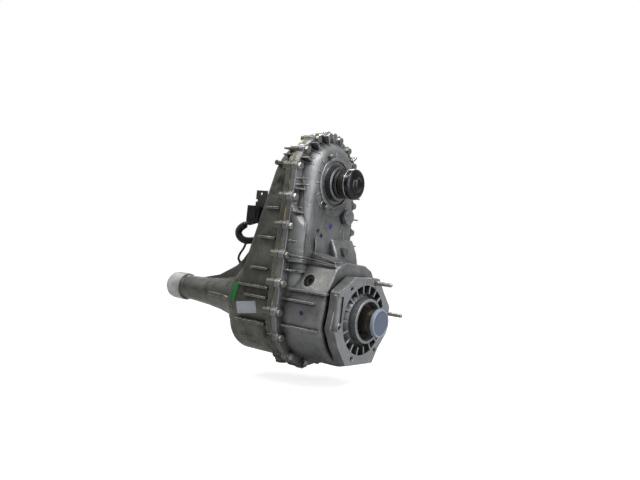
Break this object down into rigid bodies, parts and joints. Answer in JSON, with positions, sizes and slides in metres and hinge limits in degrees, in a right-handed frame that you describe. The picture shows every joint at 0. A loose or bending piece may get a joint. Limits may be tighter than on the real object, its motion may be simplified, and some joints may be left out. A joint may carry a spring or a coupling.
{
  "type": "transfer case",
  "caption": "Two-speed chain-driven transfer case with cast housing, planetary range gearing, front and rear outputs and electric shift motor.",
  "frame": {"origin": "centre of the adapter flange face, on the input and main shaft axis", "axes": "+X along the main shaft, out of the adapter face towards the gearbox; +Z from the main shaft axis to the front output axis; +Y to the side away from the filler plug"},
  "size_m": [0.596, 0.2353, 0.4854],
  "materials": {
    "cast_aluminium": "rough cast",
    "zinc_bolt": "zinc plated",
    "machined_steel": "machined and oiled",
    "gear_steel": "ground",
    "bearing_steel": "polished",
    "seal_rubber": "matt",
    "boot_rubber": "matt",
    "cap_black": "moulded",
    "cap_blue_grey": "moulded",
    "plug_white": "moulded",
    "motor_paint": "semi-matt",
    "connector_black": "moulded",
    "loom_black": "convoluted",
    "bracket_steel": "phosphated",
    "bronze": "turned",
    "friction": "paper lining",
    "copper_coil": "plated",
    "filter_plastic": "moulded",
    "magnet": "sintered"
  },
  "bodies": {
    "case": {"front_case": "cast_aluminium", "rear_case": "cast_aluminium", "case_bolts": "zinc_bolt", "dowel_pins": "machined_steel", "adapter_studs": "zinc_bolt", "retainer_bolts": "zinc_bolt", "motor_bolts": "zinc_bolt", "fill_plug": "machined_steel", "drain_plug": "machined_steel", "vent_tube": "machined_steel", "input_bearing": "bearing_steel", "input_seal": "seal_rubber", "front_output_bearings": "bearing_steel", "front_output_seal": "seal_rubber", "main_rear_bearing": "bearing_steel", "tail_bushing": "bronze", "tail_seal": "seal_rubber", "ring_gear": "gear_steel", "clutch_coil": "copper_coil", "oil_pump_housing": "machined_steel", "oil_pickup_tube": "filter_plastic", "oil_strainer": "filter_plastic", "sump_magnet": "magnet", "drive_chain": "gear_steel", "shift_rail": "machined_steel", "shift_motor": "motor_paint", "connector_bracket": "bracket_steel", "harness_connector": "connector_black", "wiring_loom": "loom_black", "sensor_lead": "seal_rubber", "speed_sensor": "connector_black"},
    "input": {"input_shaft": "machined_steel", "sun_gear": "gear_steel", "pilot_bearing": "bearing_steel"},
    "carrier": {"planet_carrier": "machined_steel", "planet_pins": "machined_steel", "thrust_washers": "bronze"},
    "planet_1": {"planet_gear_1": "gear_steel"},
    "planet_2": {"planet_gear_2": "gear_steel"},
    "planet_3": {"planet_gear_3": "gear_steel"},
    "main": {"main_shaft": "machined_steel", "clutch_hub": "gear_steel", "steel_plates": "gear_steel", "ball_ramp": "machined_steel", "tone_wheel": "gear_steel", "oil_pump_rotor": "bronze"},
    "collar": {"range_collar": "machined_steel"},
    "clutch_drum_body": {"drive_sprocket": "gear_steel", "clutch_drum": "gear_steel", "friction_plates": "friction"},
    "front_output": {"front_output_shaft": "machined_steel", "driven_sprocket": "gear_steel", "dust_deflector": "zinc_bolt", "dust_boot": "boot_rubber"},
    "fork": {"range_fork": "machined_steel"},
    "shift_shaft": {"shift_cam": "machined_steel"},
    "input_cap_body": {"input_cap": "cap_blue_grey"},
    "front_cap_body": {"front_output_cap": "cap_black"},
    "tail_plug_body": {"tail_plug": "plug_white"}
  },
  "joints": [
    {"name": "input_spin", "type": "hinge", "parent": "case", "child": "input", "pos_m": [0, 0, 0], "axis": [1, 0, 0], "continuous": true},
    {"name": "carrier_spin", "type": "hinge", "parent": "case", "child": "carrier", "pos_m": [0, 0, 0], "axis": [1, 0, 0], "continuous": true},
    {"name": "planet_1_spin", "type": "hinge", "parent": "carrier", "child": "planet_1", "pos_m": [-0.076, 0, 0.06], "axis": [1, 0, 0], "continuous": true},
    {"name": "planet_2_spin", "type": "hinge", "parent": "carrier", "child": "planet_2", "pos_m": [-0.076, -0.05196, -0.03], "axis": [1, 0, 0], "continuous": true},
    {"name": "planet_3_spin", "type": "hinge", "parent": "carrier", "child": "planet_3", "pos_m": [-0.076, 0.05196, -0.03], "axis": [1, 0, 0], "continuous": true},
    {"name": "main_spin", "type": "hinge", "parent": "case", "child": "main", "pos_m": [0, 0, 0], "axis": [1, 0, 0], "continuous": true},
    {"name": "front_output_spin", "type": "hinge", "parent": "case", "child": "front_output", "pos_m": [0, 0, 0.26194], "axis": [1, 0, 0], "continuous": true},
    {"name": "drive_sprocket_spin", "type": "hinge", "parent": "case", "child": "clutch_drum_body", "pos_m": [0, 0, 0], "axis": [1, 0, 0], "continuous": true},
    {"name": "shift_shaft_turn", "type": "hinge", "parent": "case", "child": "shift_shaft", "pos_m": [-0.2, 0.03, 0.126], "axis": [1, 0, 0], "range_deg": [0, 150]},
    {"name": "range_fork_slide", "type": "slide", "parent": "case", "child": "fork", "axis": [-1, 0, 0], "range_m": [0, 0.014]},
    {"name": "range_collar_slide", "type": "slide", "parent": "main", "child": "collar", "axis": [-1, 0, 0], "range_m": [0, 0.014]},
    {"name": "input_cap_pull", "type": "slide", "parent": "input", "child": "input_cap_body", "axis": [1, 0, 0], "range_m": [0, 0.1]},
    {"name": "front_output_cap_pull", "type": "slide", "parent": "front_output", "child": "front_cap_body", "axis": [1, 0, 0], "range_m": [0, 0.1]},
    {"name": "tail_plug_pull", "type": "slide", "parent": "case", "child": "tail_plug_body", "axis": [-1, 0, 0], "range_m": [0, 0.12]}
  ],
  "couplings": [
    {"joint": "carrier_spin", "follows": "input_spin", "ratio": 0.375},
    {"joint": "planet_1_spin", "follows": "input_spin", "ratio": -1.875},
    {"joint": "planet_2_spin", "follows": "input_spin", "ratio": -1.875},
    {"joint": "planet_3_spin", "follows": "input_spin", "ratio": -1.875},
    {"joint": "main_spin", "follows": "input_spin", "ratio": 1},
    {"joint": "drive_sprocket_spin", "follows": "front_output_spin", "ratio": 1},
    {"joint": "shift_shaft_turn", "follows": "range_fork_slide", "rad_per_m": 187},
    {"joint": "range_collar_slide", "follows": "range_fork_slide", "ratio": 1}
  ]
}
